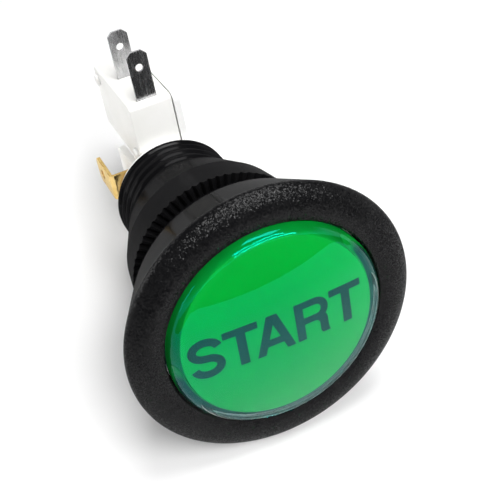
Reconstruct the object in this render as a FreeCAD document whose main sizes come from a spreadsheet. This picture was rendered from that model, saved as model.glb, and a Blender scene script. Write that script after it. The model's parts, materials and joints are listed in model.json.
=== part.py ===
import FreeCAD, Part
import math
import os
import Sketcher

# Round panel push button with a lit lens and a snap-action switch, in millimetres.
# The button's axis is Y. The face that bears on the panel is at Y = 0, the lens
# points to -Y, the barrel and the switch run to +Y, and +Z is the legend's top.

doc = FreeCAD.newDocument("start_button")
dim = doc.addObject("Spreadsheet::Sheet", "dim")

# Driving sizes
SIZES = {
    # Lens, and the bezel ring that surrounds it
    "lens_radius": 22.4,
    "head_clearance": 0.35,
    "bezel_width": 7.25,
    "bezel_radius": "=lens_radius + head_clearance + bezel_width",
    "rim_height": 17.1,
    "rim_round": 1.3,
    "rim_front_angle": 42.0,
    "rim_back_angle": 117.0,
    "crown_height": 19.4,
    "crown_curve": 6.5,
    "mouth_round": 0.4,
    # Bell and barrel
    "seat_radius": 21.5,
    "bell_radius": 24.2,
    "bell_height": 4.2,
    "bell_curve": 17.8,
    "seat_wall": 2.6,
    "pocket_depth": 10.0,
    "pocket_foot_radius": 18.6,
    "barrel_radius": 13.5,
    "barrel_length": 37.1,
    "barrel_chamfer": 0.7,
    "socket_wall": 1.4,
    "ledge_width": 0.8,
    "ledge_place": 22.0,
    # Nut
    "panel_gap": 5.4,
    "nut_clearance": 0.6,
    "nut_wall": 1.7,
    "nut_length": 18.6,
    "nut_flange_radius": 20.7,
    "nut_flange_length": 8.6,
    "nut_shoulder_radius": 19.3,
    "nut_edge": 0.5,
    "tooth_count": 72,
    "tooth_depth": 0.75,
    "tooth_width": 1.2,
    "tooth_margin": 2.6,
    # Lens cap, legend and plunger
    "press_travel": 4.0,
    "lens_side_height": 18.8,
    "lens_shoulder": 2.4,
    "lens_dome_angle": 14.0,
    "lens_face_height": 18.7,
    "lens_skirt_height": 15.3,
    "lens_wall": 1.5,
    "plate_clearance": 0.2,
    "print_gap": 0.1,
    "legend_thickness": 2.2,
    "head_thickness": 1.6,
    "stem_clearance": 0.4,
    "stem_wall": 1.6,
    "finger_width": 8.8,
    "finger_length": 12.0,
    "finger_slot": 1.2,
    "hook_length": 2.6,
    "hook_clearance": 0.2,
    "hook_angle": 40.0,
    "hook_lead": 0.6,
    # Return spring
    "wire_radius": 0.6,
    "spring_clearance": 2.7,
    "spring_turns": 4.5,
    "spring_end_gap": 0.05,
    # Push rod
    "rod_width": 4.8,
    "rod_bottom": 3.4,
    "rod_headroom": 0.8,
    "rod_clearance": 0.5,
    "ramp_slope": 0.25,
    "ramp_lead": 2.0,
    "ramp_gap": 0.2,
    # Lamp and switch holder
    "collar_wall": 1.5,
    "collar_clearance": 0.1,
    "press_stop_gap": 0.2,
    "holder_flange": 2.0,
    "holder_flange_edge": 0.4,
    "holder_wall": 1.55,
    "holder_corner": 2.0,
    "trough_bottom": -11.0,
    "trough_length": 27.0,
    "left_wall_length": 16.0,
    "rib_place": 2.0,
    "rib_thickness": 1.4,
    "rib_reach": 4.0,
    "rib_length": 8.0,
    "post_width": 12.4,
    "post_height": 5.8,
    "post_front": 8.6,
    "slot_clearance": 0.1,
    # Lamp
    "bulb_radius": 5.0,
    "bulb_length": 19.6,
    "bulb_seat_gap": 0.2,
    "wedge_width": 9.2,
    "wedge_thickness": 2.2,
    "wedge_length": 6.6,
    # Lamp terminals
    "lamp_tab_width": 6.35,
    "lamp_tab_thickness": 0.8,
    "lamp_tab_length": 11.9,
    "lamp_tab_middle": 5.9,
    "lamp_tab_reach": 13.4,
    "lamp_tab_hole": 1.1,
    "lamp_tab_hole_setback": 4.0,
    "lamp_tab_chamfer": 1.2,
    "lamp_leg_place": 3.2,
    "lamp_leg_width": 2.2,
    "lamp_leg_thickness": 0.6,
    "fold_radius": 0.4,
    # Snap-action switch
    "switch_gap": 0.3,
    "switch_side_gap": 0.2,
    "switch_length": 27.8,
    "switch_height": 15.9,
    "switch_thickness": 10.3,
    "switch_bottom": 8.0,
    "switch_wall": 1.4,
    "switch_side_wall": 1.2,
    "switch_corner": 1.2,
    "switch_edge": 0.4,
    "cover_thickness": 1.1,
    "fixing_inset": 2.8,
    "fixing_pitch_long": 22.2,
    "fixing_pitch_tall": 10.3,
    "fixing_hole": 1.55,
    "fixing_boss": 2.6,
    "peg_clearance": 0.1,
    "peg_proud": 0.8,
    "peg_round": 0.5,
    # Switch terminals
    "tab_width": 4.75,
    "tab_thickness": 0.6,
    "tab_length": 11.5,
    "tab_hole": 0.9,
    "tab_hole_setback": 3.9,
    "tab_chamfer": 1.1,
    "common_inset": 2.1,
    "common_foot_length": 2.8,
    "open_inset": 15.9,
    "closed_tab_length": 8.0,
    # Moving contact and pin
    "pivot_inset": 3.1,
    "blade_height": 7.5,
    "blade_thickness": 0.3,
    "blade_width": 3.6,
    "blade_heel": 0.4,
    "blade_toe": 1.6,
    "tongue_width": 1.2,
    "tongue_slot": 0.4,
    "tongue_length": 8.0,
    "tongue_inset": 9.0,
    "foot_gap": 0.2,
    "contact_inset": 20.6,
    "contact_radius": 1.3,
    "contact_head": 0.9,
    "contact_shank": 0.6,
    "contact_round": 0.3,
    "contact_gap_closed": 0.05,
    "contact_gap_open": 1.75,
    "fit_clearance": 0.05,
    "pin_inset": 14.6,
    "pin_radius": 1.5,
    "pin_clearance": 0.2,
    "pin_reach": 2.2,
    "pin_collar_radius": 2.4,
    "pin_collar_thickness": 1.0,
    "pin_blade_gap": 0.15,
    "pin_round": 0.6,
}

for row, (alias, size) in enumerate(SIZES.items(), start=1):
    dim.set(f"A{row}", alias)
    dim.set(f"B{row}", str(size))
    dim.setAlias(f"B{row}", alias)
doc.recompute()

# Places that several pieces share, as expressions on the sheet
LENS_HOLE = "(dim.lens_radius + dim.head_clearance)"
SOCKET = "(dim.barrel_radius - dim.socket_wall)"
GUIDE = f"({SOCKET} - dim.ledge_width)"
STEM = f"({GUIDE} - dim.stem_clearance)"
STEM_BORE = f"({STEM} - dim.stem_wall)"
PLATE_RADIUS = "(dim.lens_radius - dim.lens_wall - dim.plate_clearance)"
LEGEND_FRONT = "(dim.print_gap - dim.lens_face_height)"
LEGEND_BACK = f"({LEGEND_FRONT} + dim.legend_thickness)"
HEAD_BACK = f"({LEGEND_BACK} + dim.head_thickness)"
HOOK_BACK = "(dim.ledge_place + dim.hook_length)"
COLLAR_FRONT = f"({HOOK_BACK} + dim.press_travel + dim.press_stop_gap)"
FLANGE_BACK = "(dim.barrel_length + dim.holder_flange)"
SWITCH_FRONT = f"({FLANGE_BACK} + dim.switch_gap)"
SWITCH_BACK = f"({SWITCH_FRONT} + dim.switch_length)"
SWITCH_TOP = "(dim.switch_bottom + dim.switch_height)"
CASE_LEFT = "(-dim.switch_thickness / 2)"
CASE_RIGHT = "(dim.switch_thickness / 2 - dim.cover_thickness)"
TAB_TOP = f"({SWITCH_TOP} + dim.tab_length)"
ROD_TOP = "(dim.switch_bottom - dim.rod_headroom)"
PIN_TIP = "(dim.switch_bottom - dim.pin_reach)"
PIN_PLACE = f"({SWITCH_FRONT} + dim.pin_inset)"
BLADE_BOTTOM = "(dim.switch_bottom + dim.blade_height)"
BLADE_TOP = f"({BLADE_BOTTOM} + dim.blade_thickness)"
PIVOT_PLACE = f"({SWITCH_FRONT} + dim.pivot_inset)"
CONTACT_PLACE = f"({SWITCH_FRONT} + dim.contact_inset)"
CLOSED_FACE = f"({BLADE_BOTTOM} - dim.contact_head - dim.contact_gap_closed)"
CLOSED_TOP = f"({CLOSED_FACE} - dim.contact_head)"
OPEN_FACE = f"({BLADE_TOP} + dim.contact_head + dim.contact_gap_open)"
OPEN_BOTTOM = f"({OPEN_FACE} + dim.contact_head)"
COMMON_PLACE = f"({SWITCH_FRONT} + dim.common_inset)"
OPEN_PLACE = f"({SWITCH_FRONT} + dim.open_inset)"
LAMP_TAB_LOW = "(dim.lamp_tab_middle - dim.lamp_tab_width / 2)"
LAMP_TAB_HIGH = "(dim.lamp_tab_middle + dim.lamp_tab_width / 2)"
LAMP_TAB_BACK = f"({FLANGE_BACK} + dim.lamp_tab_length)"
LEG_LOW = "(dim.wedge_thickness / 2 + dim.slot_clearance)"
LEG_HIGH = f"({LEG_LOW} + dim.lamp_leg_thickness)"
LEG_OUTER = "(dim.lamp_leg_place + dim.lamp_leg_width)"
CHEEK_INNER = "(dim.switch_thickness / 2 + dim.switch_side_gap)"
CHEEK_OUTER = f"({CHEEK_INNER} + dim.holder_wall)"

FIXINGS = [
    (f"({SWITCH_FRONT} + dim.fixing_inset)", "(dim.switch_bottom + dim.fixing_inset)"),
    (
        f"({SWITCH_FRONT} + dim.fixing_inset + dim.fixing_pitch_long)",
        "(dim.switch_bottom + dim.fixing_inset + dim.fixing_pitch_tall)",
    ),
]


# Helpers
def number(expression):
    return float(dim.evalExpression(expression))


def new_body(label):
    body = doc.addObject("PartDesign::Body", label)
    body.Label = label
    return body


def origin_feature(body, role):
    return next(item for item in body.Origin.OriginFeatures if item.Role == role)


def arc_between(start, end, radius, turn):
    """Arc from start to end; turn is +1 for counter-clockwise and -1 for clockwise."""
    chord = math.dist(start, end)
    rise = math.sqrt(radius**2 - (chord / 2) ** 2) * turn
    across = (-(end[1] - start[1]) / chord, (end[0] - start[0]) / chord)
    centre_x = (start[0] + end[0]) / 2 + across[0] * rise
    centre_y = (start[1] + end[1]) / 2 + across[1] * rise
    first, last = (start, end) if turn > 0 else (end, start)
    angles = [math.atan2(p[1] - centre_y, p[0] - centre_x) for p in (first, last)]
    circle = Part.Circle(FreeCAD.Vector(centre_x, centre_y, 0), FreeCAD.Vector(0, 0, 1), radius)
    return Part.ArcOfCircle(circle, angles[0], angles[1])


def bind(sketch, constraint, expression):
    """Adds a constraint whose value follows an expression on the sheet."""
    index = sketch.addConstraint(constraint)
    sketch.renameConstraint(index, f"size{index}")
    sketch.setExpression(f"Constraints.size{index}", expression)


def pin_point(sketch, edge, end, across, along):
    """Holds a point at two expressions, or on an axis where one is 0."""
    kinds = (("DistanceX", across, -2), ("DistanceY", along, -1))
    for kind, expression, axis in kinds:
        if expression == "0":
            sketch.addConstraint(Sketcher.Constraint("PointOnObject", edge, end, axis))
        else:
            value = number(expression)
            bind(sketch, Sketcher.Constraint(kind, -1, 1, edge, end, value), expression)


def new_sketch(body, name, plane, height="0", shift="0"):
    """Sketch on an origin plane, raised by height and moved along its own first axis by shift."""
    sketch = body.newObject("Sketcher::SketchObject", name)
    sketch.AttachmentSupport = (origin_feature(body, plane), [""])
    sketch.MapMode = "FlatFace"
    sketch.setExpression("AttachmentOffset.Base.x", shift)
    sketch.setExpression("AttachmentOffset.Base.z", height)
    return sketch


def add_outline(sketch, corners):
    """Closed outline. A corner is (across, along), and (across, along, radius, turn)
    where the edge that leaves it is an arc."""
    spots = [(number(corner[0]), number(corner[1])) for corner in corners]
    first_edge = len(sketch.Geometry)
    ends = []
    for index, corner in enumerate(corners):
        start, end = spots[index], spots[(index + 1) % len(spots)]
        if len(corner) == 4:
            radius, turn = corner[2:]
            edge = sketch.addGeometry(arc_between(start, end, number(radius), turn))
            bind(sketch, Sketcher.Constraint("Radius", edge, number(radius)), radius)
            ends.append((1, 2) if turn > 0 else (2, 1))
        else:
            points = [FreeCAD.Vector(x, y, 0) for x, y in (start, end)]
            sketch.addGeometry(Part.LineSegment(*points))
            ends.append((1, 2))
    for index, corner in enumerate(corners):
        edge = first_edge + index
        before = first_edge + (index - 1) % len(corners)
        joint = (before, ends[index - 1][1], edge, ends[index][0])
        sketch.addConstraint(Sketcher.Constraint("Coincident", *joint))
        pin_point(sketch, edge, ends[index][0], corner[0], corner[1])


def add_circle(sketch, across, along, radius):
    centre = FreeCAD.Vector(number(across), number(along), 0)
    circle = Part.Circle(centre, FreeCAD.Vector(0, 0, 1), number(radius))
    edge = sketch.addGeometry(circle)
    bind(sketch, Sketcher.Constraint("Radius", edge, number(radius)), radius)
    pin_point(sketch, edge, 3, across, along)


def rectangle(low_across, high_across, low_along, high_along):
    return [
        (low_across, low_along),
        (high_across, low_along),
        (high_across, high_along),
        (low_across, high_along),
    ]


def rounded_rectangle(low_across, high_across, low_along, high_along, radius):
    return [
        (f"{low_across} + {radius}", low_along),
        (f"{high_across} - {radius}", low_along, radius, 1),
        (high_across, f"{low_along} + {radius}"),
        (high_across, f"{high_along} - {radius}", radius, 1),
        (f"{high_across} - {radius}", high_along),
        (f"{low_across} + {radius}", high_along, radius, 1),
        (low_across, f"{high_along} - {radius}"),
        (low_across, f"{low_along} + {radius}", radius, 1),
    ]


def turn_profile(body, name, corners, plane="XY_Plane", place="0"):
    """Turns a (radius, Y) outline about the button's axis, or, in the plane YZ, a
    (radius, Z) outline about the upright axis at that place along Y."""
    sketch = new_sketch(body, f"{name}_profile", plane, shift=place)
    add_outline(sketch, corners)
    turned = body.newObject("PartDesign::Revolution", name)
    turned.Profile = sketch
    turned.ReferenceAxis = (sketch, ["V_Axis"])
    turned.Angle = 360
    doc.recompute()
    return turned


def extrude(body, kind, name, plane, low, high, outlines=(), circles=()):
    """Pads or pockets outlines from low to high along the plane's own axis.

    The planes are XY (height along Z), YZ (along X) and XZ (along Y).
    """
    if plane == "XZ_Plane":
        low, high = f"-({high})", f"-({low})"
    height = low if kind == "Pad" else high
    sketch = new_sketch(body, f"{name}_outline", plane, height)
    for outline in outlines:
        add_outline(sketch, outline)
    for circle in circles:
        add_circle(sketch, *circle)
    feature = body.newObject(f"PartDesign::{kind}", name)
    feature.Profile = sketch
    feature.setExpression("Length", f"({high}) - ({low})")
    doc.recompute()
    return feature


def round_edges(body, name, radius, x=None, y=None, z=None, circles=False):
    """Rounds the edges that lie wholly at the given places: full circles, or all the others."""
    places = [None if place is None else number(place) for place in (x, y, z)]

    def wanted(edge):
        box = edge.BoundBox
        spans = ((box.XMin, box.XMax), (box.YMin, box.YMax), (box.ZMin, box.ZMax))
        pairs = [(place, span) for place, span in zip(places, spans) if place is not None]
        return edge.isClosed() == circles and all(
            math.isclose(end, place, abs_tol=1e-3) for place, span in pairs for end in span
        )

    base = body.Tip
    edges = [f"Edge{index}" for index, edge in enumerate(base.Shape.Edges, start=1) if wanted(edge)]
    fillet = body.newObject("PartDesign::Fillet", name)
    fillet.Base = (base, edges)
    fillet.setExpression("Radius", radius)
    body.Tip = fillet
    doc.recompute()
    return fillet


# Bezel, bell and barrel, one moulding
def build_bezel_housing():
    body = new_body("bezel_housing")
    pocket_floor = "(dim.pocket_depth - dim.crown_height)"
    rim_middle = "(dim.bezel_radius - dim.rim_round)"
    rim_front = (
        f"{rim_middle} + dim.rim_round * sin(dim.rim_front_angle)",
        "-dim.rim_height - dim.rim_round * cos(dim.rim_front_angle)",
    )
    rim_back = (
        f"{rim_middle} + dim.rim_round * sin(dim.rim_back_angle)",
        "-dim.rim_height - dim.rim_round * cos(dim.rim_back_angle)",
    )
    turn_profile(
        body,
        "bezel_turning",
        [
            (LENS_HOLE, "dim.mouth_round - dim.crown_height", "dim.mouth_round", 1),
            (f"{LENS_HOLE} + dim.mouth_round", "-dim.crown_height", "dim.crown_curve", 1),
            (*rim_front, "dim.rim_round", 1),
            rim_back,
            ("dim.bell_radius", "-dim.bell_height", "dim.bell_curve", 1),
            ("dim.seat_radius", "0"),
            ("dim.barrel_radius", "0"),
            ("dim.barrel_radius", "dim.barrel_length - dim.barrel_chamfer"),
            ("dim.barrel_radius - dim.barrel_chamfer", "dim.barrel_length"),
            (SOCKET, "dim.barrel_length"),
            (SOCKET, "dim.ledge_place"),
            (GUIDE, "dim.ledge_place"),
            (GUIDE, "-dim.seat_wall"),
            ("dim.pocket_foot_radius", "-dim.seat_wall"),
            (LENS_HOLE, pocket_floor),
        ],
    )
    return body


# Nut with radial serrations on the face that grips the panel
def build_mounting_nut():
    body = new_body("mounting_nut")
    bore = "(dim.barrel_radius + dim.nut_clearance)"
    hub = f"({bore} + dim.nut_wall)"
    back = "(dim.panel_gap + dim.nut_length)"
    turn_profile(
        body,
        "nut_turning",
        [
            (bore, "dim.panel_gap"),
            ("dim.nut_flange_radius", "dim.panel_gap"),
            ("dim.nut_shoulder_radius", "dim.panel_gap + dim.nut_flange_length"),
            (hub, f"{back} - dim.nut_edge", "dim.nut_edge", 1),
            (f"{hub} - dim.nut_edge", back),
            (bore, back),
        ],
    )
    half = "dim.tooth_width / 2"
    groove = extrude(
        body,
        "Pocket",
        "serration",
        "YZ_Plane",
        f"{bore} + dim.tooth_margin",
        "dim.nut_flange_radius + dim.tooth_width",
        outlines=[
            [
                ("dim.panel_gap - dim.tooth_depth", f"-2 * {half}"),
                ("dim.panel_gap + dim.tooth_depth", "0"),
                ("dim.panel_gap - dim.tooth_depth", f"2 * {half}"),
            ]
        ],
    )
    ring = body.newObject("PartDesign::PolarPattern", "serrations")
    ring.Originals = [groove]
    ring.Axis = (origin_feature(body, "Y_Axis"), [""])
    ring.Angle = 360
    ring.setExpression("Occurrences", "dim.tooth_count")
    body.Tip = ring
    doc.recompute()
    return body


# Clear domed cap with a skirt that grips the plunger's head
def build_lens_cap():
    body = new_body("lens_cap")
    crown = "(dim.lens_radius - dim.lens_shoulder * (1 - sin(dim.lens_dome_angle)))"
    crown_place = "(-dim.lens_side_height - dim.lens_shoulder * cos(dim.lens_dome_angle))"
    dome_radius = f"({crown} / sin(dim.lens_dome_angle))"
    apex = f"({crown_place} - {dome_radius} * (1 - cos(dim.lens_dome_angle)))"
    skirt = "(dim.lens_radius - dim.lens_wall)"
    turn_profile(
        body,
        "lens_turning",
        [
            ("0", apex, dome_radius, 1),
            (crown, crown_place, "dim.lens_shoulder", 1),
            ("dim.lens_radius", "-dim.lens_side_height"),
            ("dim.lens_radius", "-dim.lens_skirt_height"),
            (skirt, "-dim.lens_skirt_height"),
            (skirt, "-dim.lens_face_height"),
            ("0", "-dim.lens_face_height"),
        ],
    )
    return body


# Coloured disc that carries the legend
def build_legend_plate():
    body = new_body("legend_plate")
    turn_profile(
        body,
        "legend_turning",
        [
            ("0", LEGEND_FRONT),
            (PLATE_RADIUS, LEGEND_FRONT),
            (PLATE_RADIUS, LEGEND_BACK),
            ("0", LEGEND_BACK),
        ],
    )
    return body


# Plunger: head, hollow stem, two snap hooks and the ramped rod that works the switch
def build_plunger():
    body = new_body("plunger")
    turn_profile(
        body,
        "plunger_turning",
        [
            (STEM_BORE, LEGEND_BACK),
            (PLATE_RADIUS, LEGEND_BACK),
            (PLATE_RADIUS, HEAD_BACK),
            (STEM, HEAD_BACK),
            (STEM, HOOK_BACK),
            (STEM_BORE, HOOK_BACK),
        ],
    )
    slot_start = f"({HOOK_BACK} - dim.finger_length)"
    slot_end = f"({HOOK_BACK} + dim.finger_slot)"
    slot_inner = "(dim.finger_width / 2)"
    slot_outer = f"({slot_inner} + dim.finger_slot)"
    extrude(
        body,
        "Pocket",
        "finger_slots",
        "XY_Plane",
        f"-{STEM}",
        STEM,
        outlines=[
            rectangle(slot_inner, slot_outer, slot_start, slot_end),
            rectangle(f"-{slot_outer}", f"-{slot_inner}", slot_start, slot_end),
        ],
    )
    hook = add_hook(body)
    hooks = body.newObject("PartDesign::PolarPattern", "hooks")
    hooks.Originals = [hook]
    hooks.Axis = (origin_feature(body, "Y_Axis"), [""])
    hooks.Angle = 360
    hooks.Occurrences = 2
    body.Tip = hooks
    doc.recompute()
    add_push_rod(body)
    return body


def add_hook(body):
    """One hook on the finger at +Z, which stops against the ledge in the barrel."""
    tip = f"({SOCKET} - dim.hook_clearance)"
    root = f"({STEM} - dim.stem_wall / 2)"
    sketch = new_sketch(body, "hook_profile", "YZ_Plane")
    add_outline(
        sketch,
        [
            ("dim.ledge_place", root),
            (HOOK_BACK, root),
            (HOOK_BACK, f"{tip} - dim.hook_lead"),
            (f"{HOOK_BACK} - dim.hook_lead", tip),
            ("dim.ledge_place", tip),
        ],
    )
    hook = body.newObject("PartDesign::Revolution", "hook")
    hook.Profile = sketch
    hook.ReferenceAxis = (sketch, ["H_Axis"])
    hook.Midplane = True
    hook.setExpression("Angle", "dim.hook_angle")
    doc.recompute()
    return hook


def add_push_rod(body):
    """Bar across the stem's end, and the rod whose ramp lifts the switch pin."""
    bar_half = f"(sqrt({STEM}^2 - {ROD_TOP}^2) - dim.stem_clearance / 2)"
    extrude(
        body,
        "Pad",
        "rod_bar",
        "YZ_Plane",
        f"-{bar_half}",
        bar_half,
        outlines=[rectangle(f"{HOOK_BACK} - dim.hook_length", HOOK_BACK, "dim.rod_bottom", ROD_TOP)],
    )
    under_pin = f"({PIN_TIP} - dim.ramp_gap)"
    ramp_start = f"({PIN_PLACE} - ({ROD_TOP} - {under_pin}) / dim.ramp_slope)"
    ramp_end = f"({PIN_PLACE} + dim.ramp_lead)"
    extrude(
        body,
        "Pad",
        "push_rod",
        "YZ_Plane",
        "-dim.rod_width / 2",
        "dim.rod_width / 2",
        outlines=[
            [
                (f"{HOOK_BACK} - dim.hook_length", "dim.rod_bottom"),
                (ramp_end, "dim.rod_bottom"),
                (ramp_end, f"{under_pin} - dim.ramp_lead * dim.ramp_slope"),
                (ramp_start, ROD_TOP),
                (f"{HOOK_BACK} - dim.hook_length", ROD_TOP),
            ]
        ],
    )


# Coil spring between the plunger's head and the floor of the bell
def build_return_spring():
    body = new_body("return_spring")
    coil = f"({STEM} + dim.spring_clearance + dim.wire_radius)"
    end = "(dim.wire_radius + dim.spring_end_gap)"
    sketch = new_sketch(body, "wire_section", "XY_Plane")
    add_circle(sketch, coil, f"{HEAD_BACK} + {end}", "dim.wire_radius")
    wire = body.newObject("PartDesign::AdditiveHelix", "coil")
    wire.Profile = sketch
    wire.ReferenceAxis = (sketch, ["V_Axis"])
    wire.Mode = "height-turns-growth"
    wire.setExpression("Height", f"-dim.seat_wall - {HEAD_BACK} - 2 * {end}")
    wire.setExpression("Turns", "dim.spring_turns")
    doc.recompute()
    return body


# White holder: collar in the barrel, lamp post inside the stem, trough behind
def build_lamp_holder():
    body = new_body("lamp_holder")
    collar = f"({SOCKET} - dim.collar_clearance)"
    collar_bore = f"({collar} - dim.collar_wall)"
    flange = "(dim.barrel_radius - dim.barrel_chamfer / 2)"
    turn_profile(
        body,
        "holder_turning",
        [
            (collar_bore, COLLAR_FRONT),
            (collar, COLLAR_FRONT),
            (collar, "dim.barrel_length"),
            (flange, "dim.barrel_length"),
            (flange, f"{FLANGE_BACK} - dim.holder_flange_edge"),
            (f"{flange} - dim.holder_flange_edge", FLANGE_BACK),
            ("0", FLANGE_BACK),
            ("0", "dim.barrel_length"),
            (collar_bore, "dim.barrel_length"),
        ],
    )
    extrude(
        body,
        "Pad",
        "lamp_post",
        "XZ_Plane",
        "dim.post_front",
        "dim.barrel_length",
        outlines=[
            rectangle(
                "-dim.post_width / 2",
                "dim.post_width / 2",
                "-dim.post_height / 2",
                "dim.post_height / 2",
            )
        ],
    )
    add_trough(body)
    cut_holder(body)
    return body


def add_trough(body):
    """Floor, low left wall and tall right cheek with the two pegs for the switch."""
    back = f"({FLANGE_BACK} + dim.trough_length)"
    wall_back = f"({FLANGE_BACK} + dim.left_wall_length)"
    floor_top = "(dim.trough_bottom + dim.holder_wall)"
    wall_top = "(dim.switch_bottom - dim.switch_side_gap)"
    corner = "dim.holder_corner"
    extrude(
        body,
        "Pad",
        "trough_floor",
        "YZ_Plane",
        f"-{CHEEK_OUTER}",
        CHEEK_OUTER,
        outlines=[rectangle(FLANGE_BACK, back, "dim.trough_bottom", floor_top)],
    )
    extrude(
        body,
        "Pad",
        "left_wall",
        "YZ_Plane",
        f"-{CHEEK_OUTER}",
        f"-{CHEEK_INNER}",
        outlines=[
            [
                (FLANGE_BACK, "dim.trough_bottom"),
                (wall_back, "dim.trough_bottom"),
                (wall_back, f"{wall_top} - {corner}", corner, 1),
                (f"{wall_back} - {corner}", wall_top),
                (FLANGE_BACK, wall_top),
            ]
        ],
    )
    extrude(
        body,
        "Pad",
        "right_cheek",
        "YZ_Plane",
        CHEEK_INNER,
        CHEEK_OUTER,
        outlines=[
            [
                (FLANGE_BACK, "dim.trough_bottom"),
                (back, "dim.trough_bottom"),
                (back, f"{SWITCH_TOP} - {corner}", corner, 1),
                (f"{back} - {corner}", SWITCH_TOP),
                (f"{FLANGE_BACK} + {corner}", SWITCH_TOP, corner, 1),
                (FLANGE_BACK, f"{SWITCH_TOP} - {corner}"),
            ]
        ],
    )
    add_ribs(body)
    peg = "(dim.fixing_hole - dim.peg_clearance)"
    peg_end = "-(dim.switch_thickness / 2 + dim.peg_proud)"
    extrude(
        body,
        "Pad",
        "switch_pegs",
        "YZ_Plane",
        peg_end,
        CHEEK_INNER,
        circles=[(along, up, peg) for along, up in FIXINGS],
    )
    round_edges(body, "peg_ends", "dim.peg_round", x=peg_end, circles=True)


def add_ribs(body):
    """Corner rib between the flange and each side wall."""
    rib_low = "dim.rib_place"
    rib_high = "(dim.rib_place + dim.rib_thickness)"
    for side, sign in (("left", "-"), ("right", "")):
        low, high = (f"-{rib_high}", f"-{rib_low}") if sign else (rib_low, rib_high)
        extrude(
            body,
            "Pad",
            f"{side}_rib",
            "XY_Plane",
            low,
            high,
            outlines=[
                [
                    (f"{sign}{CHEEK_OUTER}", FLANGE_BACK),
                    (f"{sign}({CHEEK_OUTER} + dim.rib_reach)", FLANGE_BACK),
                    (f"{sign}{CHEEK_OUTER}", f"{FLANGE_BACK} + dim.rib_length"),
                ]
            ],
        )


def cut_holder(body):
    """Way for the push rod, the lamp's slot, and the channels for the lamp terminals."""
    gap = "dim.slot_clearance"
    rod_half = "(dim.rod_width / 2 + dim.rod_clearance)"
    extrude(
        body,
        "Pocket",
        "rod_way",
        "XZ_Plane",
        "dim.barrel_length",
        FLANGE_BACK,
        outlines=[
            rectangle(
                f"-{rod_half}",
                rod_half,
                "dim.rod_bottom - dim.rod_clearance",
                f"{ROD_TOP} + dim.rod_clearance",
            )
        ],
    )
    wedge_half = f"(dim.wedge_width / 2 + {gap})"
    wedge_thick = f"(dim.wedge_thickness / 2 + {gap})"
    extrude(
        body,
        "Pocket",
        "wedge_slot",
        "XZ_Plane",
        "dim.post_front",
        f"dim.post_front + dim.wedge_length + {gap}",
        outlines=[rectangle(f"-{wedge_half}", wedge_half, f"-{wedge_thick}", wedge_thick)],
    )
    leg_in = f"(dim.lamp_leg_place - {gap})"
    leg_out = f"({LEG_OUTER} + {gap})"
    leg_up = f"({LEG_HIGH} + {gap})"
    extrude(
        body,
        "Pocket",
        "leg_channels",
        "XZ_Plane",
        "dim.post_front",
        FLANGE_BACK,
        outlines=[
            rectangle(f"-{leg_out}", f"-{leg_in}", LEG_LOW, leg_up),
            rectangle(leg_in, leg_out, f"-{leg_up}", f"-{LEG_LOW}"),
        ],
    )
    notch_back = f"({FLANGE_BACK} + dim.lamp_tab_thickness + {gap})"
    low = f"({LEG_LOW} - {gap})"
    high = f"({LAMP_TAB_HIGH} + {gap})"
    for side, sign in (("left", "-"), ("right", "")):
        bottom, top = (low, high) if sign else (f"-{high}", f"-{low}")
        near, far = f"{sign}{CHEEK_INNER}", f"{sign}{CHEEK_OUTER}"
        extrude(
            body,
            "Pocket",
            f"{side}_notch",
            "YZ_Plane",
            far if sign else near,
            near if sign else far,
            outlines=[rectangle(FLANGE_BACK, notch_back, bottom, top)],
        )


# Wedge-base lamp, a sealed glass bulb
def build_lamp_bulb():
    body = new_body("lamp_bulb")
    shoulder = "(dim.post_front - dim.bulb_seat_gap)"
    tip = f"({shoulder} - dim.bulb_length)"
    turn_profile(
        body,
        "bulb_turning",
        [
            ("0", tip, "dim.bulb_radius", 1),
            ("dim.bulb_radius", f"{tip} + dim.bulb_radius"),
            ("dim.bulb_radius", f"{shoulder} - dim.bulb_radius / 3"),
            ("dim.wedge_width / 2", shoulder),
            ("0", shoulder),
        ],
    )
    extrude(
        body,
        "Pad",
        "wedge_base",
        "XZ_Plane",
        shoulder,
        "dim.post_front + dim.wedge_length",
        outlines=[
            rectangle(
                "-dim.wedge_width / 2",
                "dim.wedge_width / 2",
                "-dim.wedge_thickness / 2",
                "dim.wedge_thickness / 2",
            )
        ],
    )
    return body


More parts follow.
